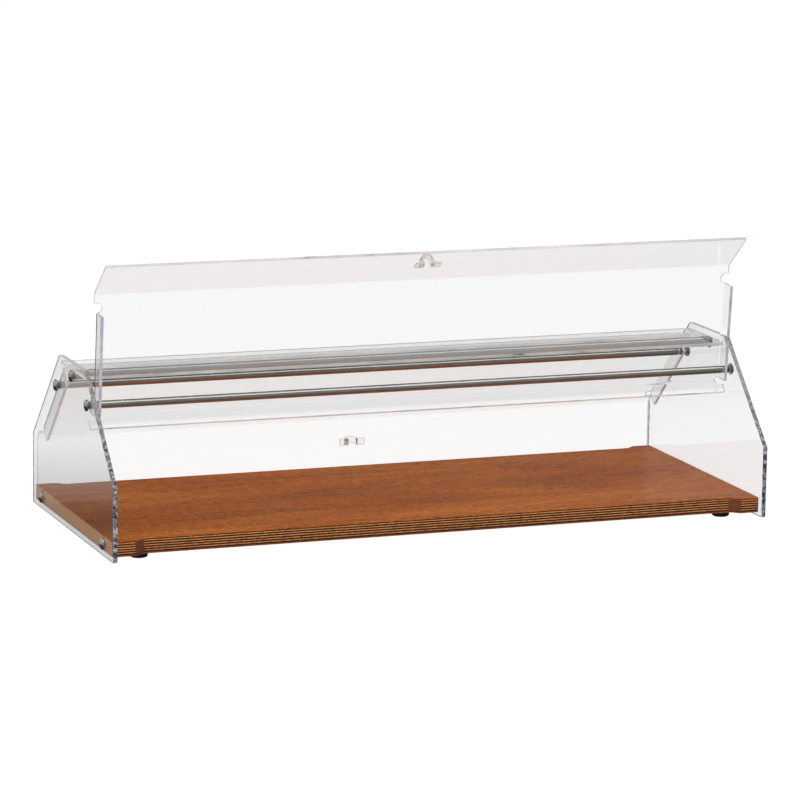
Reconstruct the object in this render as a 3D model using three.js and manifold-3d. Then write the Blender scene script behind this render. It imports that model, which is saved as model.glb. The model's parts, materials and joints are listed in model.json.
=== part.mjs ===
// Countertop display case: a plywood base, two clear side panels, a clear top sheet on a steel rod,
// and two folded clear flaps, front and rear, that swing on steel hinge rods.
// Units are millimetres. +X runs along the case, the front is -Y and +Z is up.
// The case is modelled about its own mid-plane and moved along Y at the end, so that the origin
// lies under the middle of its outer box, on the surface that the feet stand on.

import * as THREE from 'three';
import { mergeVertices } from 'three/addons/utils/BufferGeometryUtils.js';
import Module from 'manifold-3d';

const wasm = await Module();
wasm.setup();

// ---------------------------------------------------------------- driving dimensions

const GAP = 0.3;                    // clearance left wherever two pieces touch
const SIDES = [-1, 1];              // left, right
const ENDS = [-1, 1];               // front, rear

const caseLength = 900;             // over the outer faces of the side panels

const panel = {
  thickness: 6,
  depth: 372,                       // front edge to rear edge
  edgeHeight: 94.9,                 // height of the upright front and rear edges
  height: 222,
  clearance: 3.5,                   // height of the lower edge above the worktop
  topCornerRadius: 8,
  bendRadius: 4,
  footCornerRadius: 1.5,
};

const board = {
  thickness: 20.5,
  underside: 9,                     // height above the worktop
  hornReach: 178,                   // mid-plane to the front of the end horns
  recessReach: 168,                 // mid-plane to the recessed middle of the edge
  hornLength: 27,
  rampLength: 11,                   // where the edge runs back from the horn to the recess
  rampRadius: 8,
  cornerRadius: 2,
};

const rod = { radius: 5, boreDepth: 14 };
const topRod = { height: 208.2, screwLength: 18 };
const hinge = {
  reach: 71,                        // mid-plane to the hinge axis
  height: 183.2,
  openLean: 5,                      // degrees that an open flap leans forward of upright
  rodEndPlay: 0.5,
  screwLength: 27,
};

const topSheet = { thickness: 4, reach: 58, cornerRadius: 3 };

const flap = {
  thickness: 4,
  halfWidth: 440.5,
  standOff: 15.3,                   // hinge axis to the outer face of the sloping sheet
  slope: 45,                        // degrees below the horizontal when closed
  hingeBend: -19.2,                 // along the sheet from the hinge axis to the upper bend
  lipBend: 142.3,                   // along the sheet from the hinge axis to the lower bend
  flangeLength: 20.2,
  lipLength: 67.6,
  bendRadius: 8,
  armOuter: 438,                    // outer face of each side arm, from mid-length
  armFreeEdge: -9.5,                // hinge axis to the free edge of the arm
  armStart: -13.5,
  armEnd: 116.7,
  armBendRadius: 6,
  armRootLap: 1,                    // the arm's corner runs on into the sheet by this much
  pivotHoleRadius: 3.8,
  reliefWidth: 13,                  // relief slot beside the lip end of each arm
  reliefDepth: 11,
  reliefCutReach: 12,               // half the depth of the tool that cuts a relief slot
  upperReliefWidth: 11,             // relief slot beside the hinge end of each arm
};

const handle = {
  footLength: 9.4,
  archWidth: 16.5,
  archHeight: 17,
  strap: 3,
  width: 9.5,
  filletRadius: 4,
  footTipRadius: 1,
};

const screw = {
  headRadius: 7.75,
  headHeight: 4,
  headRim: 0.8,
  shankRadius: 2.5,
  holeRadius: 2.8,
  tipChamfer: 0.8,
};
const baseScrew = { reach: 142, length: 36 };

const bush = { radius: 4.75, bossRadius: 3.5 };

const foot = {
  reachX: 404,
  reachY: 144,
  topRadius: 12.5,
  bottomRadius: 11.8,
  edgeRadius: 3,
  counterboreRadius: 4.6,
  counterboreDepth: 3.6,
  holeRadius: 2.3,
};
const footScrew = { headRadius: 4, headHeight: 2.2, headRim: 0.7, shankRadius: 2, top: 20 };

const ROUND_STEPS = 20;             // sides on the larger round pieces
const SMALL_ROUND_STEPS = 12;       // sides on holes and small hardware
const BEND_STEPS = 4;
const DOME_STEPS = 3;
const ALMOST_ONE = 0.998;           // keeps the two arcs of a half-round end from meeting

// ---------------------------------------------------------------- materials

const clear = new THREE.MeshStandardMaterial({ color: 0xeef3f3, roughness: 0.04, metalness: 0 });
clear.transparent = true;
clear.opacity = 0.35;
const steel = new THREE.MeshStandardMaterial({ color: 0xb9bab8, roughness: 0.22, metalness: 1 });
const wood = new THREE.MeshStandardMaterial({ color: 0x9a552b, roughness: 0.42, metalness: 0 });
const rubber = new THREE.MeshStandardMaterial({ color: 0x141414, roughness: 0.75, metalness: 0 });
const nylon = new THREE.MeshStandardMaterial({ color: 0x3a3b3c, roughness: 0.4, metalness: 0 });

// ---------------------------------------------------------------- outlines and solids

const radians = THREE.MathUtils.degToRad;

function point(x, y, radius = 0) {
  return { at: new THREE.Vector2(x, y), radius };
}

// A closed outline from corners, each rounded by its own radius.
function roundedOutline(corners, steps = BEND_STEPS) {
  const outline = [];
  corners.forEach((corner, index) => {
    if (corner.radius === 0) {
      outline.push(corner.at.clone());
      return;
    }
    const before = corners.at(index - 1).at;
    const after = corners[(index + 1) % corners.length].at;
    const toBefore = before.clone().sub(corner.at).normalize();
    const toAfter = after.clone().sub(corner.at).normalize();
    const halfAngle = Math.acos(THREE.MathUtils.clamp(toBefore.dot(toAfter), -1, 1)) / 2;
    const middle = toBefore.clone().add(toAfter).normalize();
    const centre = corner.at.clone().addScaledVector(middle, corner.radius / Math.sin(halfAngle));
    const tangent = corner.radius / Math.tan(halfAngle);
    const start = corner.at.clone().addScaledVector(toBefore, tangent).sub(centre);
    const sweep = Math.PI - 2 * halfAngle;
    const turn = Math.sign(toBefore.cross(toAfter)) * -sweep;
    for (let step = 0; step <= steps; step += 1) {
      const angle = (turn * step) / steps;
      outline.push(start.clone().rotateAround(new THREE.Vector2(), angle).add(centre));
    }
  });
  return outline;
}

function circle(x, y, radius, steps = SMALL_ROUND_STEPS) {
  return Array.from({ length: steps }, (_, step) => {
    const angle = (2 * Math.PI * step) / steps;
    return new THREE.Vector2(x + radius * Math.cos(angle), y + radius * Math.sin(angle));
  });
}

function extrude(outline, depth, holes = []) {
  const shape = new THREE.Shape(outline);
  shape.holes = holes.map((hole) => new THREE.Path(hole));
  return new THREE.ExtrudeGeometry(shape, { depth, bevelEnabled: false });
}

// Turns an extruded outline so that it is drawn in the Y-Z plane and its thickness runs along X.
const profileToSide = new THREE.Matrix4().makeBasis(
  new THREE.Vector3(0, 1, 0),
  new THREE.Vector3(0, 0, 1),
  new THREE.Vector3(1, 0, 0),
);

function extrudeAlongX(outline, fromX, toX, holes = []) {
  return extrude(outline, toX - fromX, holes).applyMatrix4(profileToSide).translate(fromX, 0, 0);
}

// An outline drawn in the X-Z plane, with its thickness from fromY to toY.
function extrudeAlongY(outline, fromY, toY) {
  return extrude(outline, toY - fromY).rotateX(Math.PI / 2).translate(0, toY, 0);
}

function lathe(profile, steps) {
  const points = profile.map(([radius, height]) => new THREE.Vector2(radius, height));
  return new THREE.LatheGeometry(points, steps);
}

const turnedAlongX = (profile, steps) => lathe(profile, steps).rotateZ(-Math.PI / 2);
const turnedUpright = (profile, steps) => lathe(profile, steps).rotateX(Math.PI / 2);

function toSolid(geometry) {
  const bare = geometry.clone();
  bare.deleteAttribute('normal');
  bare.deleteAttribute('uv');
  const merged = mergeVertices(bare, 1e-4);
  return new wasm.Manifold(new wasm.Mesh({
    numProp: 3,
    vertProperties: new Float32Array(merged.attributes.position.array),
    triVerts: new Uint32Array(merged.index.array),
  }));
}

function toGeometry(solid) {
  const mesh = solid.getMesh();
  const geometry = new THREE.BufferGeometry();
  geometry.setAttribute('position', new THREE.BufferAttribute(mesh.vertProperties, 3));
  geometry.setIndex(new THREE.BufferAttribute(mesh.triVerts, 1));
  geometry.computeVertexNormals();
  return geometry;
}

function cut(geometry, tools) {
  return toGeometry(tools.reduce((solid, tool) => solid.subtract(toSolid(tool)), toSolid(geometry)));
}

function join(pieces) {
  const [first, ...others] = pieces.map(toSolid);
  return toGeometry(others.reduce((solid, piece) => solid.add(piece), first));
}

function addMesh(parent, name, geometry, material) {
  const mesh = new THREE.Mesh(geometry, material);
  mesh.name = name;
  parent.add(mesh);
  return mesh;
}

const sideName = (side) => (side < 0 ? 'left' : 'right');
const endName = (end) => (end < 0 ? 'front' : 'rear');

// ---------------------------------------------------------------- shared positions

const halfLength = caseLength / 2;
const panelInner = halfLength - panel.thickness;
const boardMiddle = board.underside + board.thickness / 2;
const topSheetUnderside = topRod.height + rod.radius + GAP;
const slope = radians(flap.slope);
const openTravel = Math.PI - slope - radians(hinge.openLean);

// ---------------------------------------------------------------- base board

function baseBoard() {
  const endX = panelInner - GAP;
  const rampStart = endX - board.hornLength;
  const rampEnd = rampStart - board.rampLength;
  const half = (side) => [
    point(side * rampEnd, board.recessReach, board.rampRadius),
    point(side * rampStart, board.hornReach, board.rampRadius),
    point(side * endX, board.hornReach, board.cornerRadius),
  ];
  const rear = [...half(1).reverse(), ...half(-1)];
  const front = rear.map(({ at, radius }) => point(-at.x, -at.y, radius));
  const body = extrude(roundedOutline([...rear, ...front]), board.thickness)
    .translate(0, 0, board.underside);
  return cut(body, [...baseScrewHoles(), ...footScrewHoles()]);
}

function baseScrewHoles() {
  const depth = baseScrew.length - panel.thickness + 2;
  const profile = [[0, -depth], [screw.holeRadius, -depth], [screw.holeRadius, depth], [0, depth]];
  return atFourPlaces((side, end) => turnedAlongX(profile, SMALL_ROUND_STEPS)
    .translate(side * panelInner, end * baseScrew.reach, boardMiddle));
}

function footScrewHoles() {
  const top = footScrew.top + 1;
  const profile = [[0, 0], [foot.holeRadius, 0], [foot.holeRadius, top], [0, top]];
  return atFourPlaces((side, end) => turnedUpright(profile, SMALL_ROUND_STEPS)
    .translate(side * foot.reachX, end * foot.reachY, 0));
}

function atFourPlaces(make) {
  return SIDES.flatMap((side) => ENDS.map((end) => make(side, end)));
}

// ---------------------------------------------------------------- side panels and top sheet

function sidePanel(side) {
  const low = panel.clearance;
  const bendHeight = low + panel.edgeHeight;
  const high = low + panel.height;
  const reach = panel.depth / 2;
  const topReach = reach - (high - bendHeight) / Math.tan(slope);
  const corners = [
    point(-reach, low, panel.footCornerRadius),
    point(reach, low, panel.footCornerRadius),
    point(reach, bendHeight, panel.bendRadius),
    point(topReach, high, panel.topCornerRadius),
    point(-topReach, high, panel.topCornerRadius),
    point(-reach, bendHeight, panel.bendRadius),
  ];
  const holes = [
    circle(0, topRod.height, screw.holeRadius),
    ...ENDS.map((end) => circle(end * hinge.reach, hinge.height, screw.holeRadius)),
    ...ENDS.map((end) => circle(end * baseScrew.reach, boardMiddle, screw.holeRadius)),
  ];
  const inner = side * panelInner;
  const outer = side * halfLength;
  return extrudeAlongX(roundedOutline(corners), Math.min(inner, outer), Math.max(inner, outer), holes);
}

function clearTopSheet() {
  const endX = panelInner - GAP;
  const corners = [[-1, -1], [1, -1], [1, 1], [-1, 1]]
    .map(([side, end]) => point(side * endX, end * topSheet.reach, topSheet.cornerRadius));
  return extrude(roundedOutline(corners), topSheet.thickness).translate(0, 0, topSheetUnderside);
}

// ---------------------------------------------------------------- rods, bushes, screws and feet

// A round bar along X with a blind bore in each end for its screw.
function roundRod(endX) {
  const floor = endX - rod.boreDepth;
  const rightHalf = [[0, floor], [screw.holeRadius, floor], [screw.holeRadius, endX], [rod.radius, endX]];
  const leftHalf = rightHalf.map(([radius, x]) => [radius, -x]);
  return turnedAlongX([...leftHalf, ...rightHalf.toReversed()], ROUND_STEPS);
}

// A spacer between the side panel and the flap's arm, with a boss that the arm turns on.
// It is drawn for the right side, with x counted from the middle of the case.
function hingeBush() {
  const wallX = panelInner - GAP;
  const armX = flap.armOuter + GAP;
  const tipX = armX - GAP - flap.thickness;
  const profile = [
    [screw.holeRadius, tipX],
    [bush.bossRadius, tipX],
    [bush.bossRadius, armX],
    [bush.radius, armX],
    [bush.radius, wallX],
    [screw.holeRadius, wallX],
    [screw.holeRadius, tipX],
  ];
  return turnedAlongX(profile, SMALL_ROUND_STEPS);
}

// A dome-headed screw along X: the underside of its head is at x = 0 and its shank runs to -x.
function domeScrew(length) {
  const rise = screw.headHeight - screw.headRim;
  const dome = Array.from({ length: DOME_STEPS }, (_, step) => {
    const angle = (Math.PI / 2) * (step / DOME_STEPS);
    return [screw.headRadius * Math.cos(angle), screw.headRim + rise * Math.sin(angle)];
  });
  const profile = [
    [0, -length],
    [screw.shankRadius - screw.tipChamfer, -length],
    [screw.shankRadius, screw.tipChamfer - length],
    [screw.shankRadius, 0],
    [screw.headRadius, 0],
    ...dome,
    [0, screw.headHeight],
  ];
  return turnedAlongX(profile, ROUND_STEPS);
}

function rubberFoot() {
  const top = board.underside - GAP;
  const profile = [
    [foot.counterboreRadius, 0],
    [foot.bottomRadius - foot.edgeRadius, 0],
    [foot.bottomRadius, foot.edgeRadius],
    [foot.topRadius, top],
    [foot.holeRadius, top],
    [foot.holeRadius, foot.counterboreDepth],
    [foot.counterboreRadius, foot.counterboreDepth],
    [foot.counterboreRadius, 0],
  ];
  return turnedUpright(profile, ROUND_STEPS);
}

function footScrewBody() {
  const seat = foot.counterboreDepth - GAP;
  const low = seat - footScrew.headHeight;
  const profile = [
    [0, low],
    [footScrew.headRadius - footScrew.headRim, low],
    [footScrew.headRadius, low + footScrew.headRim],
    [footScrew.headRadius, seat],
    [footScrew.shankRadius, seat],
    [footScrew.shankRadius, footScrew.top],
    [0, footScrew.top],
  ];
  return turnedUpright(profile, SMALL_ROUND_STEPS);
}

// ---------------------------------------------------------------- folded flaps

// A flap is drawn about its hinge axis: Y runs down the sloping sheet and Z out of its outer face.
// One sheet is bent twice along its length, into a flange, a slope and a lip.
function foldedSheet() {
  const { standOff, thickness, hingeBend, lipBend, bendRadius, flangeLength, lipLength } = flap;
  const cos = Math.cos(slope);
  const sin = Math.sin(slope);
  const shift = thickness * Math.tan(slope / 2);
  const flangeEnd = [hingeBend - flangeLength * cos, standOff - flangeLength * sin];
  const lipEnd = [lipBend + lipLength * cos, standOff - lipLength * sin];
  const innerRadius = bendRadius - thickness;
  const corners = [
    point(...flangeEnd),
    point(flangeEnd[0] + thickness * sin, flangeEnd[1] - thickness * cos),
    point(hingeBend + shift, standOff - thickness, innerRadius),
    point(lipBend - shift, standOff - thickness, innerRadius),
    point(lipEnd[0] - thickness * sin, lipEnd[1] - thickness * cos),
    point(...lipEnd),
    point(lipBend, standOff, bendRadius),
    point(hingeBend, standOff, bendRadius),
  ];
  return extrudeAlongX(roundedOutline(corners), -flap.halfWidth, flap.halfWidth);
}

// A side arm with the rounded corner that joins it to the sheet, bent down from the sheet.
function foldedArm(side) {
  const { armOuter, thickness, standOff, armFreeEdge, armBendRadius, armRootLap } = flap;
  const root = armOuter - armBendRadius - armRootLap;
  const armInner = armOuter - thickness;
  const corners = [
    point(side * root, standOff),
    point(side * armOuter, standOff, armBendRadius),
    point(side * armOuter, armFreeEdge),
    point(side * armInner, armFreeEdge),
    point(side * armInner, standOff - thickness, armBendRadius - thickness),
    point(side * root, standOff - thickness),
  ];
  const outline = roundedOutline(side < 0 ? corners.reverse() : corners);
  return extrudeAlongY(outline, flap.armStart, flap.armEnd);
}

// Clears the sheet's side where an arm's rounded corner takes its place, as far as both slots.
function armClearance(side) {
  const root = flap.armOuter - flap.armBendRadius;
  const outerX = flap.halfWidth + 1;
  const start = flap.armStart - flap.armRootLap;
  const box = new THREE.BoxGeometry(outerX - root, flap.armEnd - start, 3 * flap.thickness);
  return box.translate(side * (root + outerX) / 2, (flap.armEnd + start) / 2, flap.standOff);
}

// A slot with a round inner end, cut in from the side of the sheet at a place along it.
function reliefSlot(side, along, width, tilt) {
  const endRadius = width / 2;
  const innerX = flap.halfWidth - flap.reliefDepth;
  const outerX = flap.halfWidth + width;
  const corners = [
    point(side * innerX, -endRadius, endRadius * ALMOST_ONE),
    point(side * outerX, -endRadius),
    point(side * outerX, endRadius),
    point(side * innerX, endRadius, endRadius * ALMOST_ONE),
  ];
  return extrude(roundedOutline(side < 0 ? corners.reverse() : corners), 2 * flap.reliefCutReach)
    .translate(0, 0, -flap.reliefCutReach)
    .rotateX(tilt)
    .translate(0, along, flap.standOff - flap.thickness / 2);
}

function foldedFlap() {
  const lipSlotAt = flap.armEnd + flap.reliefWidth / 2;
  const hingeSlotAt = flap.armStart - flap.upperReliefWidth / 2;
  const sheet = cut(foldedSheet(), SIDES.flatMap((side) => [
    armClearance(side),
    reliefSlot(side, lipSlotAt, flap.reliefWidth, 0),
    reliefSlot(side, hingeSlotAt, flap.upperReliefWidth, slope / 2),
  ]));
  const folded = join([sheet, ...SIDES.map(foldedArm)]);
  const reach = flap.halfWidth;
  const pivot = [[0, -reach], [flap.pivotHoleRadius, -reach], [flap.pivotHoleRadius, reach], [0, reach]];
  return cut(folded, [turnedAlongX(pivot, SMALL_ROUND_STEPS)]);
}

// An omega-shaped grip: two feet and an arch, drawn on the lip's outer face about its own centre.
function omegaHandle() {
  const { footLength, archWidth, archHeight, strap, width, filletRadius, footTipRadius } = handle;
  const archOuter = archWidth / 2;
  const archInner = archOuter - strap;
  const footEnd = archOuter + footLength;
  const right = [
    point(archInner, archHeight - strap, archInner * ALMOST_ONE),
    point(archInner, GAP),
    point(footEnd, GAP),
    point(footEnd, GAP + strap, footTipRadius),
    point(archOuter, GAP + strap, filletRadius),
    point(archOuter, archHeight, archOuter * ALMOST_ONE),
  ];
  const left = right.map(({ at, radius }) => point(-at.x, at.y, radius)).reverse();
  return extrudeAlongY(roundedOutline([...right, ...left]), -width / 2, width / 2);
}

// ---------------------------------------------------------------- assembly

// Pieces drawn for the right side are turned half round about Z for the left.
function turnToSide(mesh, side) {
  mesh.rotation.z = side < 0 ? Math.PI : 0;
}

function addScrew(parent, name, length, side, position) {
  const mesh = addMesh(parent, name, domeScrew(length), steel);
  mesh.position.set(side * (halfLength + GAP), ...position);
  turnToSide(mesh, side);
}

function addBase() {
  addMesh(displayCase, 'base_board', baseBoard(), wood);
  for (const side of SIDES) {
    for (const end of ENDS) {
      const place = `${endName(end)}_${sideName(side)}`;
      const footAt = [side * foot.reachX, end * foot.reachY, 0];
      addMesh(displayCase, `${place}_foot`, rubberFoot(), rubber).position.set(...footAt);
      addMesh(displayCase, `${place}_foot_screw`, footScrewBody(), steel).position.set(...footAt);
      addScrew(displayCase, `${place}_base_screw`, baseScrew.length, side, [end * baseScrew.reach, boardMiddle]);
    }
  }
}

function addCanopy() {
  addMesh(displayCase, 'top_sheet', clearTopSheet(), clear);
  addMesh(displayCase, 'top_rod', roundRod(panelInner - GAP), steel).position.z = topRod.height;
  for (const side of SIDES) {
    addMesh(displayCase, `${sideName(side)}_side_panel`, sidePanel(side), clear);
    addScrew(displayCase, `${sideName(side)}_top_rod_screw`, topRod.screwLength, side, [0, topRod.height]);
  }
}

function addHinge(end) {
  const axis = new THREE.Group();
  axis.position.set(0, end * hinge.reach, hinge.height);
  displayCase.add(axis);
  const rodEnd = flap.armOuter - flap.thickness - hinge.rodEndPlay;
  addMesh(axis, `${endName(end)}_hinge_rod`, roundRod(rodEnd), steel);
  for (const side of SIDES) {
    const place = `${endName(end)}_${sideName(side)}`;
    turnToSide(addMesh(axis, `${place}_hinge_bush`, hingeBush(), nylon), side);
    addScrew(axis, `${place}_hinge_screw`, hinge.screwLength, side, [0, 0]);
  }
}

// The rear flap is closed. The front flap is the same piece turned to face the front, swung open.
function addFlap(end) {
  const facing = new THREE.Group();
  facing.position.set(0, end * hinge.reach, hinge.height);
  facing.rotation.z = end < 0 ? Math.PI : 0;
  displayCase.add(facing);
  const swing = new THREE.Group();
  swing.rotation.x = (end < 0 ? openTravel : 0) - slope;
  facing.add(swing);
  addMesh(swing, `${endName(end)}_flap`, foldedFlap(), clear);
  const lip = new THREE.Group();
  lip.position.set(0, flap.lipBend, flap.standOff);
  lip.rotation.x = -slope;
  swing.add(lip);
  addMesh(lip, `${endName(end)}_flap_handle`, omegaHandle(), clear).position.y = flap.lipLength / 2;
}

const displayCase = new THREE.Group();
addBase();
addCanopy();
for (const end of ENDS) {
  addHinge(end);
  addFlap(end);
}

// The rear handle reaches further out than the panels do, so the middle of the outer box is
// behind the case's own mid-plane by half the difference.
const closedLipReach = hinge.reach + (flap.lipBend + flap.standOff) * Math.cos(slope);
const rearReach = closedLipReach + handle.archHeight;
displayCase.position.y = (panel.depth / 2 - rearReach) / 2;

const product = new THREE.Group();
product.add(displayCase);

export default product;
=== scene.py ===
"""Looks of the countertop display case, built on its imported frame.

Folded clear flaps, clear side panels and a clear top sheet, steel rods and dome-headed screws, a stained
plywood base board, nylon hinge bushes and rubber feet. +X runs along the case, the front is -Y and +Z is
up. Dimensions are in millimetres unless they say otherwise; shown pieces are in metres, in the row frame.
"""

import json
import math

import bmesh
import bpy
from mathutils import Matrix, Vector


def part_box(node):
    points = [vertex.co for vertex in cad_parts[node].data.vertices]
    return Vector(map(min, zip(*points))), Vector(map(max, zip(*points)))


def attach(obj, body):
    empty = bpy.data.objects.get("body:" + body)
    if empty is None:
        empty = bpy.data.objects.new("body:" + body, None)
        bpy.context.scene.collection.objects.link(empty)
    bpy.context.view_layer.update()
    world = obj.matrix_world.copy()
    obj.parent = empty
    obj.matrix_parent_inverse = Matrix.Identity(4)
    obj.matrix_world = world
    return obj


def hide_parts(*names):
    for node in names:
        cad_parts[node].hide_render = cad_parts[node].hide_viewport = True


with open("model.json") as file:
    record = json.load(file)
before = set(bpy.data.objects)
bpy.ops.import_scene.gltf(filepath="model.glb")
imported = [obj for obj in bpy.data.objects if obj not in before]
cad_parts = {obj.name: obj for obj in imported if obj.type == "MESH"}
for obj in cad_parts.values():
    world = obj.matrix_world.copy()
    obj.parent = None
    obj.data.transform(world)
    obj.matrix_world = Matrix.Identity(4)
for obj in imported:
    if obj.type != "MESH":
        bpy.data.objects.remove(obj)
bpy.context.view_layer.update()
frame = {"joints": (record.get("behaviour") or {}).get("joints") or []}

# ------------------------------------------------------------------ dimensions

MM = 0.001
SIDES = {"left": -1, "right": 1}
ENDS = ("front", "rear")

BEND_STEPS = 18                 # straight pieces in one rounded corner
HOLE_STEPS = 40
TURNED_STEPS = 64
DOME_STEPS = 16
FOOT_EDGE_STEPS = 6
SHARP = math.radians(30)        # edges that turn more than this stay crisp
FLAT = math.radians(0.2)        # faces that turn less than this are one face
SAME_LENGTH = 0.01
NEARLY = 0.998                  # keeps two rounded corners that meet from touching

PANEL_EDGE_HEIGHT = 94.9
PANEL_TOP_RADIUS = 8
PANEL_BEND_RADIUS = 4
PANEL_FOOT_RADIUS = 1.5
PANEL_BRIGHT_HEIGHT = 135       # below this the cut edges show painted piped light, and above the next a dull painted reflection
PANEL_DULL_HEIGHT = 165
SHEET_CORNER_RADIUS = 3
ARRIS = 0.3                     # width of the tiny flat on every cut edge
CUT_MARGIN = 1                  # how far a cutting shape reaches past what it cuts

HORN_LENGTH = 27
RAMP_LENGTH = 11
RECESS = 10
RAMP_RADIUS = 8
BOARD_CORNER_RADIUS = 2
BOARD_ARRIS = 1.3
BOARD_ARRIS_STEPS = 3
PLY_PAIRS = 6.5                 # a dark and a pale ply in each

SLOPE = math.radians(45)
OPEN_LEAN = math.radians(5)
FLAP = {
    "thickness": 4,
    "half_width": 440.5,
    "stand_off": 15.3,          # from the hinge axis out to the sheet's outer face
    "hinge_bend": -19.2,        # the two bends and the arm's ends, measured down the slope
    "lip_bend": 142.3,
    "flange": 20.2,
    "lip": 67.6,
    "bend_radius": 8,
    "arm_outer": 438,
    "arm_free_edge": -9.5,
    "arm_start": -13.5,
    "arm_end": 116.7,
    "arm_bend_radius": 6,
    "arm_root_lap": 1,
    "pivot_radius": 3.8,
    "relief_width": 13,
    "relief_depth": 11,
    "upper_relief_width": 11,
}
RELIEF_CUT_REACH = 12

HANDLE = {
    "foot": 9.4,
    "arch_width": 16.5,
    "arch_height": 17,
    "strap": 3,
    "width": 9.5,
    "fillet": 4,
    "foot_tip": 1,
    "seat": 0.3,                # gap between its feet and the lip
}

SCREW_HEAD = 4
SCREW_HEAD_RIM = 0.8
SCREW_HEAD_EASE = 0.35
SCREW_SHANK_RADIUS = 2.5
SCREW_TIP_CHAMFER = 0.8
ROD_CHAMFER = 0.5
ROD_BORE_RADIUS = 2.8
ROD_BORE_DEPTH = 14
BUSH_BOSS_RADIUS = 3.5
BUSH_BORE_RADIUS = 2.8
BUSH_BOSS_LENGTH = 4.3
FOOT_BOTTOM_RADIUS = 11.8
FOOT_COUNTERBORE_RADIUS = 4.6
FOOT_COUNTERBORE_DEPTH = 3.6
FOOT_HOLE_RADIUS = 2.3
FOOT_EDGE_RADIUS = 3
FOOT_TOP_EASE = (0.3, 0.6)      # inwards and down
FOOT_SCREW_HEAD_HEIGHT = 2.2
FOOT_SCREW_HEAD_RIM = 0.7
FOOT_SCREW_SHANK_RADIUS = 2

ACRYLIC_INDEX = 1.491
TOP_SHEET_INDEX = 1.12          # seen almost edge on, this keeps the rods clear beneath the sheet
SAW_MARKS = (420, 420, 420)     # marks to the metre along each axis
LIGHT_PASSED = 0.98             # share of the light that a clear face lets through to what is behind it

# Lamps, floor and camera are placed in metres, and a lamp's power is in watts.
LAMPS = {
    "overhead": {"place": (0.15, 0.1, 2.0), "target": (0.1, 0, 0), "width": 2.4, "depth": 0.8, "power": 20},
    "left_softbox": {
        "place": (-2.4, -0.6, 0.5),
        "target": (-0.45, -0.1, 0.1),
        "width": 0.9,
        "depth": 0.8,
        "power": 24,
    },
}
FLOOR_REACH = 40
CAMERA_PLACE = (-1.869, -4.9457, 1.186)
CAMERA_YAW = math.radians(20.73)
CAMERA_PITCH = math.radians(11.08)
CAMERA_ROLL = math.radians(0.84)
CAMERA_LENS = 183.15            # focal length in millimetres
CAMERA_FARTHEST = 100

# Grey levels of the surroundings, from straight down at 0 to straight up at 1.
ROOM_LEVELS = [
    (0.0, 0.08),
    (0.23, 0.13),
    (0.465, 0.25),
    (0.63, 0.3),
    (0.87, 0.3),
    (0.89, 1.7),
    (0.95, 1.7),
    (0.97, 0.7),
    (1.0, 0.7),
]
SWEEP_LEVELS = [
    (0.0, 0.05),
    (0.3935, 0.05),
    (0.396, 0.8),
    (0.403, 0.6),
    (0.41, 0.42),
    (0.54, 0.45),
    (0.58, 1.0),
    (0.62, 1.0),
    (0.7, 0.3),
    (0.94, 0.3),
    (0.96, 0.7),
]
THROUGH_LEVELS = (0.03, 0.32)   # what the board's sheen sees, from the middle to far right
THROUGH_REACH = (0.2, 0.6)      # how far to the right those two levels are
BEHIND_BLEND = (-0.15, 0.15)    # where the room in front gives way to the sweep behind
RIGHT_BLEND = (-0.25, 0.25)     # where the left half gives way to the right
BACKDROP = 1.02                 # just over white, for what the clear sheets take away

HINGES = {joint["child"]: Vector(joint["pos_m"]) / MM for joint in frame["joints"]}


def box_mm(node):
    """Lowest corner, highest corner and centre of a CAD node, in millimetres."""
    low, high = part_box(node)
    low, high = low / MM, high / MM
    return low, high, (low + high) / 2


# ------------------------------------------------------------------ shader helpers


def colour(red, green, blue):
    """A colour with the fourth part that a socket asks for."""
    return (red, green, blue, 1.0)


def grey(level):
    """A colour with three equal parts."""
    return (level, level, level)


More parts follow.
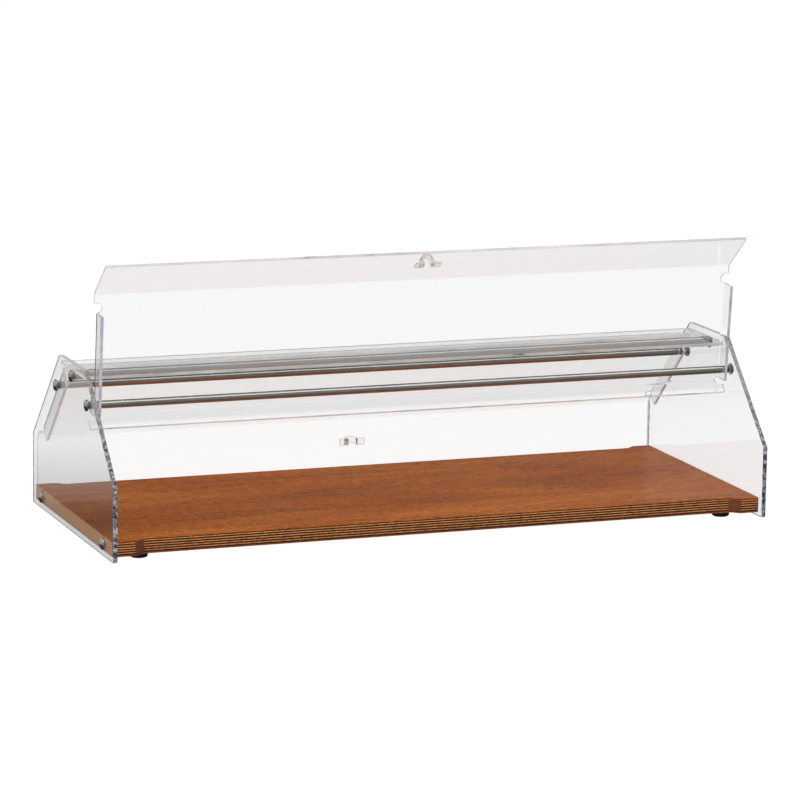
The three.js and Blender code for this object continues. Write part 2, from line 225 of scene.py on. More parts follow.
class Shader:
    """The nodes of a material or a world, made and joined by short calls."""

    def __init__(self, owner, output="ShaderNodeOutputMaterial"):
        owner.use_nodes = True
        self.owner = owner
        self.tree = owner.node_tree
        self.tree.nodes.clear()
        self.output = self.node(output)

    def node(self, kind, settings=None, **inputs):
        """A node with its settings, and with its inputs fed by name."""
        made = self.tree.nodes.new(kind)
        for key, value in (settings or {}).items():
            setattr(made, key, value)
        for key, value in inputs.items():
            self.feed(made.inputs[key.replace("_", " ")], value)
        return made

    def feed(self, socket, value):
        """Links a socket to another one, or gives it a value."""
        if isinstance(value, bpy.types.NodeSocket):
            self.tree.links.new(value, socket)
        else:
            socket.default_value = value

    def part(self, vector, axis):
        return self.node("ShaderNodeSeparateXYZ", Vector=vector).outputs[axis]

    def height(self):
        """Height over the worktop in metres, for pieces that stay where they are."""
        return self.part(self.node("ShaderNodeTexCoord").outputs["Object"], "Z")

    def noise(self, scale, detail=4.0, roughness=0.55, distortion=0.0):
        """Noise whose grain is 1 / scale metres along each axis."""
        coordinates = self.node("ShaderNodeTexCoord").outputs["Object"]
        stretched = self.node("ShaderNodeMapping", Vector=coordinates, Scale=scale).outputs["Vector"]
        made = self.node(
            "ShaderNodeTexNoise",
            Vector=stretched,
            Scale=1.0,
            Detail=detail,
            Roughness=roughness,
            Distortion=distortion,
        )
        return made.outputs["Fac"]

    def ramp(self, factor, stops):
        """A colour that runs through (place, colour) stops."""
        made = self.node("ShaderNodeValToRGB", Fac=factor)
        elements = made.color_ramp.elements
        while len(elements) < len(stops):
            elements.new(0.5)
        for element, (place, tone) in zip(elements, stops):
            element.position = place
            element.color = colour(*tone)
        return made.outputs["Color"]

    def span(self, value, from_low, from_high, to_low, to_high):
        """The value moved from one range to another, and kept inside it."""
        made = self.node("ShaderNodeMapRange", {"clamp": True})
        for socket, number in zip(made.inputs[:5], (value, from_low, from_high, to_low, to_high)):
            self.feed(socket, number)
        return made.outputs["Result"]

    def calculate(self, operation, first, second=0.0):
        made = self.node("ShaderNodeMath", {"operation": operation})
        self.feed(made.inputs[0], first)
        self.feed(made.inputs[1], second)
        return made.outputs["Value"]

    def mix(self, factor, first, second, blend="MIX"):
        """Two colours mixed. Inputs 6 and 7 and output 2 are the node's colour sockets."""
        made = self.node("ShaderNodeMix", {"data_type": "RGBA", "blend_type": blend})
        self.feed(made.inputs[0], factor)
        self.feed(made.inputs[6], first)
        self.feed(made.inputs[7], second)
        return made.outputs[2]

    def mix_surfaces(self, factor, first, second):
        made = self.node("ShaderNodeMixShader")
        for socket, value in zip(made.inputs, (factor, first, second)):
            self.feed(socket, value)
        return made.outputs["Shader"]

    def bump(self, height, distance):
        made = self.node("ShaderNodeBump", Height=height, Distance=distance, Strength=1.0)
        return made.outputs["Normal"]

    def principled(self, **inputs):
        return self.node("ShaderNodeBsdfPrincipled", **inputs).outputs["BSDF"]

    def transparent(self, level):
        return self.node("ShaderNodeBsdfTransparent", Color=colour(*grey(level))).outputs["BSDF"]

    def finish(self, surface):
        """Joins the surface to the output and hands back the material or the world."""
        self.feed(self.output.inputs["Surface"], surface)
        return self.owner


def material_shader(name):
    return Shader(bpy.data.materials.new(name))


def lets_light_through(shader, glass):
    """Glass that lets light from lamps and surroundings reach what is behind it without bending it."""
    path = shader.node("ShaderNodeLightPath").outputs
    either = shader.calculate("MAXIMUM", path["Is Shadow Ray"], path["Is Diffuse Ray"])
    return shader.mix_surfaces(either, glass, shader.transparent(LIGHT_PASSED))


# ------------------------------------------------------------------ materials


def acrylic_face(name, index):
    """Polished cast acrylic: nearly colourless, with faint waviness and rubbing marks."""
    shader = material_shader(name)
    waves = shader.noise((7, 7, 7), detail=1.0)
    rubbed = shader.noise((60, 60, 60), detail=6.0, roughness=0.7)
    glass = shader.principled(
        Base_Color=colour(0.955, 0.957, 0.958),
        IOR=index,
        Transmission_Weight=1.0,
        Roughness=shader.span(rubbed, 0.45, 0.8, 0.0, 0.015),
        Normal=shader.bump(waves, 0.000012),
    )
    return shader.finish(lets_light_through(shader, glass))


def panel_edge():
    """The side panels' cut edges, with painted light: upright ones have painted piped light in bright and
    dark patches, and the slopes a duller painted reflection.
    """
    shader = material_shader("panel_edge")
    saw = shader.noise(SAW_MARKS, detail=3.0)
    patches = shader.noise((210, 210, 210), detail=4.0, roughness=0.7)
    # Painted piped light: bright and dark patches in the base colour of the upright edges.
    painted_edge_light = shader.ramp(
        patches,
        [
            (0.36, (0.015, 0.018, 0.035)),
            (0.44, (0.12, 0.13, 0.18)),
            (0.52, (0.4, 0.41, 0.46)),
            (0.62, (0.97, 0.98, 1.0)),
        ],
    )
    slope = shader.span(shader.height(), PANEL_BRIGHT_HEIGHT * MM, PANEL_DULL_HEIGHT * MM, 0.0, 0.85)
    # Painted reflection: a dull grey-brown on the sloping edges, taking over above PANEL_BRIGHT_HEIGHT.
    painted_dull_reflection = shader.ramp(patches, [(0.35, (0.27, 0.26, 0.22)), (0.65, (0.42, 0.41, 0.37))])
    glass = shader.principled(
        Base_Color=shader.mix(slope, painted_edge_light, painted_dull_reflection),
        IOR=ACRYLIC_INDEX,
        Transmission_Weight=shader.span(slope, 0.0, 1.0, 0.5, 0.2),
        Roughness=shader.span(patches, 0.3, 0.7, 0.08, 0.28),
        Normal=shader.bump(saw, 0.00008),
    )
    return shader.finish(lets_light_through(shader, glass))


def sheet_edge(name, tint):
    """The thin sheets' scraped edges, with painted light: soft lengthwise patches of painted reflection
    with a few darker dashes, in each edge's tint.
    """
    shader = material_shader(name)
    saw = shader.noise(SAW_MARKS, detail=3.0)
    dashes = shader.noise((16, 60, 60), detail=4.0, roughness=0.6)
    # Painted reflection and piped light: each edge's tone is painted into its base colour.
    levels = [(0.3, 0.35), (0.38, 0.85), (0.5, 1.0), (0.65, 1.15)]
    painted_edge_light = shader.ramp(dashes, [(place, [level * part for part in tint]) for place, level in levels])
    glass = shader.principled(
        Base_Color=painted_edge_light,
        IOR=ACRYLIC_INDEX,
        Transmission_Weight=0.1,
        Roughness=shader.span(dashes, 0.3, 0.7, 0.12, 0.3),
        Normal=shader.bump(saw, 0.00006),
    )
    return shader.finish(lets_light_through(shader, glass))


def polished_steel():
    """Stainless bar and screws, polished along their length."""
    shader = material_shader("polished_steel")
    drawn = shader.noise((12, 1500, 1500), detail=4.0)
    smears = shader.noise((25, 60, 60), detail=4.0)
    brightness = shader.ramp(smears, [(0.3, (0.5, 0.49, 0.455)), (0.7, (0.6, 0.59, 0.55))])
    steel = shader.principled(
        Base_Color=brightness,
        Metallic=1.0,
        Roughness=shader.span(drawn, 0.35, 0.7, 0.05, 0.1),
        Normal=shader.bump(drawn, 0.000004),
    )
    return shader.finish(steel)


def zinc_steel():
    """Zinc-plated screws, dull and finely mottled."""
    shader = material_shader("zinc_steel")
    mottled = shader.noise((900, 900, 900), detail=4.0)
    steel = shader.principled(
        Base_Color=shader.ramp(mottled, [(0.3, (0.5, 0.5, 0.47)), (0.7, (0.66, 0.66, 0.64))]),
        Metallic=1.0,
        Roughness=shader.span(mottled, 0.3, 0.7, 0.3, 0.5),
        Normal=shader.bump(mottled, 0.00004),
    )
    return shader.finish(steel)


def stained_veneer():
    """The board's faces: orange-brown stain over veneer with fine, curly flecks, under lacquer."""
    shader = material_shader("stained_veneer")
    clouds = shader.noise((2.2, 7, 7), detail=3.0, distortion=0.8)
    bands = shader.noise((1.6, 26, 26), detail=6.0, roughness=0.6, distortion=0.9)
    flames = shader.noise((130, 260, 260), detail=5.0, roughness=0.75, distortion=1.5)
    pores = shader.noise((160, 300, 300), detail=2.0, roughness=0.5)
    stain = shader.ramp(
        clouds,
        [(0.3, (0.27, 0.06, 0.005)), (0.5, (0.36, 0.09, 0.009)), (0.7, (0.44, 0.125, 0.016))],
    )
    streaks = shader.ramp(
        bands,
        [(0.32, (0.66, 0.58, 0.5)), (0.44, (0.95, 0.93, 0.9)), (0.56, (1, 1, 1)), (0.72, (1.2, 1.24, 1.3))],
    )
    flame_tone = shader.ramp(flames, [(0.4, (0.56, 0.5, 0.45)), (0.5, (1, 1, 1)), (0.6, (1.4, 1.5, 1.6))])
    pore_tone = shader.ramp(pores, [(0.3, (0.7, 0.64, 0.58)), (0.42, (1, 1, 1))])
    surface = shader.mix(1.0, stain, streaks, "MULTIPLY")
    surface = shader.mix(1.0, surface, flame_tone, "MULTIPLY")
    surface = shader.mix(0.7, surface, pore_tone, "MULTIPLY")
    lacquer = shader.principled(
        Base_Color=surface,
        Specular_IOR_Level=0.2,
        Roughness=shader.span(bands, 0.3, 0.7, 0.2, 0.3),
        Normal=shader.bump(flames, 0.00006),
    )
    return shader.finish(lacquer)


def plywood_edge():
    """The board's cut edges: dark and pale plies in turn, smoother and redder where the ramps are cut, with
    painted shade along the bottom and a painted highlight on the top arris.
    """
    shader = material_shader("plywood_edge")
    low, high, _ = box_mm("base_board")
    wander = shader.span(shader.noise((6, 6, 60), detail=2.0), 0.3, 0.7, -0.0002, 0.0002)
    height = shader.calculate("ADD", shader.height(), wander)
    place = shader.span(height, low.z * MM, high.z * MM, 0.0, 1.0)
    phase = shader.calculate("PINGPONG", shader.calculate("MULTIPLY", place, PLY_PAIRS), 0.5)
    plies = shader.ramp(
        phase,
        [
            (0.0, (0.03, 0.007, 0.001)),
            (0.26, (0.07, 0.018, 0.003)),
            (0.34, (0.42, 0.16, 0.045)),
            (0.5, (0.98, 0.42, 0.12)),
        ],
    )
    dashes = shader.noise((260, 260, 620), detail=3.0, roughness=0.6)
    dash_tone = shader.ramp(
        dashes,
        [(0.34, (0.5, 0.42, 0.36)), (0.5, (0.95, 0.93, 0.9)), (0.66, (1.25, 1.25, 1.25))],
    )
    lines = shader.mix(1.0, plies, dash_tone, "MULTIPLY")
    # Painted shade darkens the lowest plies, where little light reaches, and a painted highlight lightens
    # the top arris.
    painted_shade_and_highlight = shader.ramp(
        place,
        [
            (0.0, (0.03, 0.012, 0.008)),
            (0.085, (0.2, 0.12, 0.1)),
            (0.11, (0.8, 0.75, 0.7)),
            (0.5, (1, 1, 1)),
            (0.93, (1, 1, 1)),
            (0.95, (2.2, 2.0, 1.8)),
        ],
    )
    facing = shader.node("ShaderNodeNewGeometry").outputs["Normal"]
    sideways = shader.calculate("ABSOLUTE", shader.part(facing, "X"))
    on_ramp = shader.span(sideways, 0.06, 0.3, 0.0, 0.93)
    on_end = shader.span(sideways, 0.8, 0.98, 0.0, 1.0)
    ramp_tone = shader.ramp(dashes, [(0.3, (0.11, 0.03, 0.01)), (0.7, (0.19, 0.055, 0.018))])
    end_grain = shader.ramp(dashes, [(0.3, (0.46, 0.25, 0.135)), (0.7, (0.62, 0.37, 0.21))])
    end_tone = shader.mix(0.3, end_grain, lines)
    long_side = shader.mix(1.0, shader.mix(on_ramp, lines, ramp_tone), painted_shade_and_highlight, "MULTIPLY")
    wood = shader.principled(
        Base_Color=shader.mix(on_end, long_side, end_tone),
        Specular_IOR_Level=0.3,
        Roughness=shader.span(dashes, 0.3, 0.7, 0.45, 0.65),
        Normal=shader.bump(dashes, 0.0001),
    )
    return shader.finish(wood)


def black_rubber():
    """Moulded feet, matt."""
    shader = material_shader("black_rubber")
    grain = shader.noise((1800, 1800, 1800), detail=3.0)
    rubber = shader.principled(
        Base_Color=shader.ramp(grain, [(0.3, (0.004, 0.004, 0.004)), (0.7, (0.012, 0.012, 0.012))]),
        Specular_IOR_Level=0.25,
        Roughness=shader.span(grain, 0.3, 0.7, 0.55, 0.75),
        Normal=shader.bump(grain, 0.00005),
    )
    return shader.finish(rubber)


def black_nylon():
    """Turned bushes, satin, with rings left by the tool."""
    shader = material_shader("black_nylon")
    turning = shader.noise((2500, 300, 300), detail=3.0)
    nylon = shader.principled(
        Base_Color=shader.ramp(turning, [(0.3, (0.035, 0.035, 0.038)), (0.7, (0.07, 0.07, 0.075))]),
        Roughness=shader.span(turning, 0.3, 0.7, 0.32, 0.48),
        Normal=shader.bump(turning, 0.00003),
    )
    return shader.finish(nylon)


CLEAR = acrylic_face("acrylic_face", ACRYLIC_INDEX)
PANEL = [CLEAR, panel_edge()]
# Edge tints are painted reflections: violet grey for most sheet edges, pale for the lip, handles and top
# sheet, bright for the flange.
VIOLET_EDGE = sheet_edge("violet_edge", (0.55, 0.53, 0.6))
PALE_EDGE = sheet_edge("pale_edge", (0.7, 0.66, 0.65))
BRIGHT_EDGE = sheet_edge("bright_edge", (1.0, 0.98, 0.97))
SHEET = [CLEAR, VIOLET_EDGE, PALE_EDGE, BRIGHT_EDGE]
TOP_SHEET = [acrylic_face("top_sheet_face", TOP_SHEET_INDEX), PALE_EDGE]
HANDLE_SKINS = [CLEAR, PALE_EDGE]
BOARD_SKINS = [stained_veneer(), plywood_edge()]
STEEL = polished_steel()
ZINC = zinc_steel()
RUBBER = black_rubber()
NYLON = black_nylon()

# Places in the lists above. Only SHEET has the last two.
FACE, EDGE, LIP_EDGE, FLANGE_EDGE = 0, 1, 2, 3

# ------------------------------------------------------------------ mesh helpers


def rounded(corners):
    """A closed outline from (x, y, radius) corners, each rounded by its own radius."""
    outline = []
    for index, (x, y, radius) in enumerate(corners):
        here = Vector((x, y))
        if radius == 0:
            outline.append(here)
            continue
        before = Vector(corners[index - 1][:2])
        after = Vector(corners[(index + 1) % len(corners)][:2])
        to_before = (before - here).normalized()
        to_after = (after - here).normalized()
        half_angle = to_before.angle(to_after) / 2
        centre = here + (to_before + to_after).normalized() * (radius / math.sin(half_angle))
        start = here + to_before * (radius / math.tan(half_angle)) - centre
        turn = -math.copysign(math.pi - 2 * half_angle, to_before.cross(to_after))
        for step in range(BEND_STEPS + 1):
            outline.append(centre + Matrix.Rotation(turn * step / BEND_STEPS, 2) @ start)
    return outline


def circle(x, y, radius):
    """A closed outline with HOLE_STEPS corners."""
    angles = (2 * math.pi * step / HOLE_STEPS for step in range(HOLE_STEPS))
    return [Vector((x + radius * math.cos(angle), y + radius * math.sin(angle))) for angle in angles]


AXIS_ORDER = {
    "X": lambda a, b, along: (along, a, b),
    "Y": lambda a, b, along: (a, along, b),
    "Z": lambda a, b, along: (a, b, along),
}


def prism(outline, axis, low, high, cap=FACE, side=EDGE, cut_length=None):
    """A bmesh of a closed outline pushed along an axis, with one material on its ends and one round it.

    With cut_length, the sides of that length get the material of the ends instead.
    """
    made = bmesh.new()
    place = AXIS_ORDER[axis]
    rings = [[made.verts.new(place(p.x, p.y, along)) for p in outline] for along in (low, high)]
    for ring in rings:
        made.faces.new(ring).material_index = cap
    for index, here in enumerate(outline):
        nearby = (index + 1) % len(outline)
        quad = (rings[0][index], rings[0][nearby], rings[1][nearby], rings[1][index])
        length = (outline[nearby] - here).length
        cut = cut_length is not None and abs(length - cut_length) < SAME_LENGTH
        made.faces.new(quad).material_index = cap if cut else side
    bmesh.ops.recalc_face_normals(made, faces=made.faces)
    return made


def turned(profile, axis, steps=TURNED_STEPS):
    """A bmesh of a closed (radius, along) profile turned about an axis, smooth between its corners."""
    made = bmesh.new()
    place = AXIS_ORDER[axis]
    rings = []
    for radius, along in profile:
        count = 1 if radius == 0 else steps
        angles = [2 * math.pi * step / steps for step in range(count)]
        rings.append([
            made.verts.new(place(radius * math.cos(angle), radius * math.sin(angle), along))
            for angle in angles
        ])
    for ring, following in zip(rings, rings[1:] + rings[:1]):
        for step in range(steps):
            corners = [ring[step % len(ring)], ring[(step + 1) % len(ring)]]
            corners += [following[(step + 1) % len(following)], following[step % len(following)]]
            corners = list(dict.fromkeys(corners))
            if len(corners) > 2:
                made.faces.new(corners)
    bmesh.ops.recalc_face_normals(made, faces=made.faces)
    for face in made.faces:
        face.smooth = True
    for edge in made.edges:
        edge.smooth = edge.calc_face_angle(0) < SHARP
    return made


def to_object(made, name, materials):
    """An object in the scene with the bmesh, which is used up."""
    mesh = bpy.data.meshes.new(name)
    made.to_mesh(mesh)
    made.free()
    for material in materials:
        mesh.materials.append(material)
    piece = bpy.data.objects.new(name, mesh)
    bpy.context.scene.collection.objects.link(piece)
    return piece


def combine(base, tools, operation):
    """base with the tools cut away or joined on. All are bmeshes, and all are used up."""
    piece = to_object(base, "combined", SHEET)
    helpers = [to_object(tool, "tool", SHEET) for tool in tools]
    for helper in helpers:
        modifier = piece.modifiers.new("combine", "BOOLEAN")
        modifier.operation = operation
        modifier.solver = "EXACT"
        modifier.object = helper
    evaluated = piece.evaluated_get(bpy.context.evaluated_depsgraph_get())
    made = bmesh.new()
    made.from_mesh(evaluated.to_mesh())
    evaluated.to_mesh_clear()
    for used in (piece, *helpers):
        bpy.data.objects.remove(used)
    bmesh.ops.dissolve_limit(
        made, angle_limit=FLAT, verts=made.verts, edges=made.edges, delimit={"MATERIAL"}
    )
    return made


def ease_edges(made, width, material=EDGE, segments=1):
    """Takes the sharp arrises off, with one flat or with a few that make a round."""
    sharp = [edge for edge in made.edges if edge.calc_face_angle(0) > SHARP]
    bmesh.ops.bevel(
        made,
        geom=sharp,
        offset=width,
        offset_type="OFFSET",
        segments=segments,
        profile=0.5,
        affect="EDGES",
        clamp_overlap=True,
        material=material,
    )
    return made


def turned_outward(profile, side, steps=TURNED_STEPS):
    """A profile turned about X, with its faces reversed if outward() is going to mirror it."""
    made = turned(profile, "X", steps)
    if side < 0:
        bmesh.ops.reverse_faces(made, faces=made.faces)
    return made


def outward(x, middle, side):
    """Places what is drawn along +X with its zero at x, pointing out of the case."""
    return Matrix.Translation((x, middle.y, middle.z)) @ Matrix.Scale(side, 4, (1, 0, 0))


def set_piece(made, name, node, materials, body, place=None):
    """Turns a bmesh in millimetres into the shown piece that stands for a CAD node."""
    transform = Matrix.Scale(MM, 4) @ (place or Matrix.Identity(4))
    bmesh.ops.transform(made, matrix=transform, verts=made.verts)
    piece = to_object(made, name, materials)
    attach(piece, body)
    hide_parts(node)
    return piece


# ------------------------------------------------------------------ board, panels and top sheet


def build_board():
    """A board with a horn at each corner and its front and rear edges set back between ramps."""
    low, high, middle = box_mm("base_board")
    half_x = (high.x - low.x) / 2
    reach = (high.y - low.y) / 2
    ramp_start = half_x - HORN_LENGTH
    ramp_end = ramp_start - RAMP_LENGTH
    right = [
        (half_x, reach, BOARD_CORNER_RADIUS),
        (ramp_start, reach, RAMP_RADIUS),
        (ramp_end, reach - RECESS, RAMP_RADIUS),
    ]
    rear = right + [(-x, y, radius) for x, y, radius in reversed(right)]
    outline = rounded(rear + [(-x, -y, radius) for x, y, radius in rear])
    made = prism(outline, "Z", low.z, high.z)
    ease_edges(made, BOARD_ARRIS, FACE, segments=BOARD_ARRIS_STEPS)
    place = Matrix.Translation((middle.x, middle.y, 0))
    set_piece(made, "board", "base_board", BOARD_SKINS, "case", place)


def panel_screws(side):
    """The CAD nodes whose screws go through one side panel."""
    through = [f"{end}_{side}_{kind}_screw" for end in ENDS for kind in ("hinge", "base")]
    return [f"{side}_top_rod_screw", *through]


def build_panel(side):
    """A side panel, upright below and sloping in above, with a hole for each screw."""
    node = f"{side}_side_panel"
    low, high, middle = box_mm(node)
    reach = (high.y - low.y) / 2
    bend = low.z + PANEL_EDGE_HEIGHT
    top_reach = reach - (high.z - bend) / math.tan(SLOPE)
    corners = [
        (-reach, low.z, PANEL_FOOT_RADIUS),
        (reach, low.z, PANEL_FOOT_RADIUS),
        (reach, bend, PANEL_BEND_RADIUS),
        (top_reach, high.z, PANEL_TOP_RADIUS),
        (-top_reach, high.z, PANEL_TOP_RADIUS),
        (-reach, bend, PANEL_BEND_RADIUS),
    ]
    holes = []
    for screw in panel_screws(side):
        centre = box_mm(screw)[2]
        outline = circle(centre.y - middle.y, centre.z, ROD_BORE_RADIUS)
        holes.append(prism(outline, "X", low.x - CUT_MARGIN, high.x + CUT_MARGIN, EDGE, EDGE))
    made = combine(prism(rounded(corners), "X", low.x, high.x), holes, "DIFFERENCE")
    ease_edges(made, ARRIS)
    place = Matrix.Translation((0, middle.y, 0))
    set_piece(made, f"{side}_panel", node, PANEL, "case", place)


def build_top_sheet():
    """A flat sheet with rounded corners."""
    low, high, middle = box_mm("top_sheet")
    half_x, reach = (high.x - low.x) / 2, (high.y - low.y) / 2
    quarters = ((-1, -1), (1, -1), (1, 1), (-1, 1))
    corners = [(x * half_x, y * reach, SHEET_CORNER_RADIUS) for x, y in quarters]
    made = ease_edges(prism(rounded(corners), "Z", low.z, high.z), ARRIS)
    place = Matrix.Translation((middle.x, middle.y, 0))
    set_piece(made, "top_pane", "top_sheet", TOP_SHEET, "case", place)


# ------------------------------------------------------------------ flaps

# A flap is drawn about its hinge axis: Y runs down the sloping sheet and Z out of its outer face.


def folded_sheet():
    """The flange, the sloping sheet and the lip, folded from one sheet."""
    thickness, stand_off = FLAP["thickness"], FLAP["stand_off"]
    hinge_bend, lip_bend = FLAP["hinge_bend"], FLAP["lip_bend"]
    radius = FLAP["bend_radius"]
    cos, sin = math.cos(SLOPE), math.sin(SLOPE)
    shift = thickness * math.tan(SLOPE / 2)
    flange_end = (hinge_bend - FLAP["flange"] * cos, stand_off - FLAP["flange"] * sin)
    lip_end = (lip_bend + FLAP["lip"] * cos, stand_off - FLAP["lip"] * sin)
    corners = [
        (*flange_end, 0),
        (flange_end[0] + thickness * sin, flange_end[1] - thickness * cos, 0),
        (hinge_bend + shift, stand_off - thickness, radius - thickness),
        (lip_bend - shift, stand_off - thickness, radius - thickness),
        (lip_end[0] - thickness * sin, lip_end[1] - thickness * cos, 0),
        (*lip_end, 0),
        (lip_bend, stand_off, radius),
        (hinge_bend, stand_off, radius),
    ]
    half = FLAP["half_width"]
    made = prism(rounded(corners), "X", -half, half, EDGE, FACE, cut_length=thickness)
    # The flange's and the lip's free edges get a paler painted reflection than the other edges.
    down_the_slope = sorted(made.faces, key=lambda face: face.calc_center_median().y)
    down_the_slope[0].material_index = FLANGE_EDGE
    down_the_slope[-1].material_index = LIP_EDGE
    return made


def folded_arm(side):
    """A side arm with the rounded corner that joins it to the sheet."""
    thickness, stand_off = FLAP["thickness"], FLAP["stand_off"]
    outer, free_edge, radius = FLAP["arm_outer"], FLAP["arm_free_edge"], FLAP["arm_bend_radius"]
    root = outer - radius - FLAP["arm_root_lap"]
    corners = [
        (side * root, stand_off, 0),
        (side * outer, stand_off, radius),
        (side * outer, free_edge, 0),
        (side * (outer - thickness), free_edge, 0),
        (side * (outer - thickness), stand_off - thickness, radius - thickness),
        (side * root, stand_off - thickness, 0),
    ]
    start, end = FLAP["arm_start"], FLAP["arm_end"]
    return prism(rounded(corners), "Y", start, end, EDGE, FACE, cut_length=thickness)


def arm_clearance(side):
    """Clears the sheet's side where an arm's rounded corner takes its place."""
    root = FLAP["arm_outer"] - FLAP["arm_bend_radius"]
    outer = FLAP["half_width"] + CUT_MARGIN
    start = FLAP["arm_start"] - FLAP["arm_root_lap"]
    corners = [(side * root, start), (side * outer, start)]
    corners += [(side * outer, FLAP["arm_end"]), (side * root, FLAP["arm_end"])]
    middle, reach = FLAP["stand_off"], 1.5 * FLAP["thickness"]
    return prism([Vector(corner) for corner in corners], "Z", middle - reach, middle + reach, EDGE, EDGE)


def relief_slot(side, along, width, tilt):
    """A slot with a round inner end, cut in from the side of the sheet at a place along it."""
    end_radius = width / 2 * NEARLY
    inner = side * (FLAP["half_width"] - FLAP["relief_depth"])
    outer = side * (FLAP["half_width"] + width)
    corners = [
        (inner, -width / 2, end_radius),
        (outer, -width / 2, 0),
        (outer, width / 2, 0),
        (inner, width / 2, end_radius),
    ]
    made = prism(rounded(corners), "Z", -RELIEF_CUT_REACH, RELIEF_CUT_REACH, EDGE, EDGE)
    place = Matrix.Translation((0, along, FLAP["stand_off"] - FLAP["thickness"] / 2))
    bmesh.ops.transform(made, matrix=place @ Matrix.Rotation(tilt, 4, "X"), verts=made.verts)
    return made


def folded_flap():
    """The folded sheet with its two arms, its relief slots and the holes that it turns on."""
    lip_slot = FLAP["arm_end"] + FLAP["relief_width"] / 2
    hinge_slot = FLAP["arm_start"] - FLAP["upper_relief_width"] / 2
    cuts = []
    for side in SIDES.values():
        cuts.append(arm_clearance(side))
        cuts.append(relief_slot(side, lip_slot, FLAP["relief_width"], 0))
        cuts.append(relief_slot(side, hinge_slot, FLAP["upper_relief_width"], SLOPE / 2))
    made = combine(folded_sheet(), cuts, "DIFFERENCE")
    made = combine(made, [folded_arm(side) for side in SIDES.values()], "UNION")
    reach = FLAP["half_width"]
    pivot = prism(circle(0, 0, FLAP["pivot_radius"]), "X", -reach, reach, EDGE, EDGE)
    return ease_edges(combine(made, [pivot], "DIFFERENCE"), ARRIS)


def omega_handle():
    """Two feet and an arch, drawn on the lip's outer face about its own centre."""
    strap, seat = HANDLE["strap"], HANDLE["seat"]
    outer, top = HANDLE["arch_width"] / 2, HANDLE["arch_height"]
    inner = outer - strap
    foot_end = outer + HANDLE["foot"]
    right = [
        (inner, top - strap, inner * NEARLY),
        (inner, seat, 0),
        (foot_end, seat, 0),
        (foot_end, seat + strap, HANDLE["foot_tip"]),
        (outer, seat + strap, HANDLE["fillet"]),
        (outer, top, outer * NEARLY),
    ]
    left = [(-x, y, radius) for x, y, radius in reversed(right)]
    half = HANDLE["width"] / 2
    return ease_edges(prism(rounded(right + left), "Y", -half, half, EDGE, FACE), ARRIS)


def build_flap(end):
    """The rear flap is closed. The front flap is the same piece turned to face the front, open."""
    body = f"{end}_flap"
    swung = math.pi - SLOPE - OPEN_LEAN if end == "front" else 0
    facing = Matrix.Rotation(math.pi if end == "front" else 0, 4, "Z")
    place = Matrix.Translation(HINGES[body]) @ facing @ Matrix.Rotation(swung - SLOPE, 4, "X")
    set_piece(folded_flap(), f"{end}_folded_flap", body, SHEET, body, place)
    bend = Matrix.Translation((0, FLAP["lip_bend"], FLAP["stand_off"])) @ Matrix.Rotation(-SLOPE, 4, "X")
    on_lip = place @ bend @ Matrix.Translation((0, FLAP["lip"] / 2, 0))
    node = f"{end}_flap_handle"
    set_piece(omega_handle(), f"{end}_grip", node, HANDLE_SKINS, body, on_lip)


# ------------------------------------------------------------------ rods, screws, bushes and feet


def build_rod(node):
    """A bar with a chamfer and a screw hole at each end."""
    low, high, middle = box_mm(node)
    radius = (high.z - low.z) / 2
    end = (high.x - low.x) / 2
    half = [
        (0, end - ROD_BORE_DEPTH),
        (ROD_BORE_RADIUS, end - ROD_BORE_DEPTH),
        (ROD_BORE_RADIUS, end),
        (radius - ROD_CHAMFER, end),
        (radius, end - ROD_CHAMFER),
    ]
    made = turned(half + [(r, -x) for r, x in reversed(half)], "X")
    place = Matrix.Translation(middle)
    set_piece(made, f"{node}_bar", node, [STEEL], "case", place)


def build_dome_screw(node, side):
    """The head's underside is towards the case and the shank runs inwards from it."""
    low, high, middle = box_mm(node)
    radius = (high.z - low.z) / 2
    length = high.x - low.x - SCREW_HEAD
    rise = SCREW_HEAD - SCREW_HEAD_RIM
    dome = []
    for step in range(DOME_STEPS):
        angle = math.pi / 2 * step / DOME_STEPS
        dome.append((radius * math.cos(angle), SCREW_HEAD_RIM + rise * math.sin(angle)))
    profile = [
        (0, -length),
        (SCREW_SHANK_RADIUS - SCREW_TIP_CHAMFER, -length),
        (SCREW_SHANK_RADIUS, SCREW_TIP_CHAMFER - length),
        (SCREW_SHANK_RADIUS, 0),
        (radius - SCREW_HEAD_EASE, 0),
        (radius, SCREW_HEAD_EASE),
        *dome,
        (0, SCREW_HEAD),
    ]
    seat = low.x + length if side > 0 else high.x - length
    made, place = turned_outward(profile, side), outward(seat, middle, side)
    set_piece(made, f"{node}_head", node, [STEEL], "case", place)


def build_bush(node, side):
    """A ring between the panel and the flap's arm, with a boss that the arm turns on."""
    low, high, middle = box_mm(node)
    radius = (high.z - low.z) / 2
    length = high.x - low.x
    profile = [
        (BUSH_BORE_RADIUS, 0),
        (BUSH_BOSS_RADIUS, 0),
        (BUSH_BOSS_RADIUS, BUSH_BOSS_LENGTH),
        (radius, BUSH_BOSS_LENGTH),
        (radius, length),
        (BUSH_BORE_RADIUS, length),
    ]
    inner = low.x if side > 0 else high.x
    made, place = turned_outward(profile, side, TURNED_STEPS // 2), outward(inner, middle, side)
    set_piece(made, f"{node}_ring", node, [NYLON], "case", place)


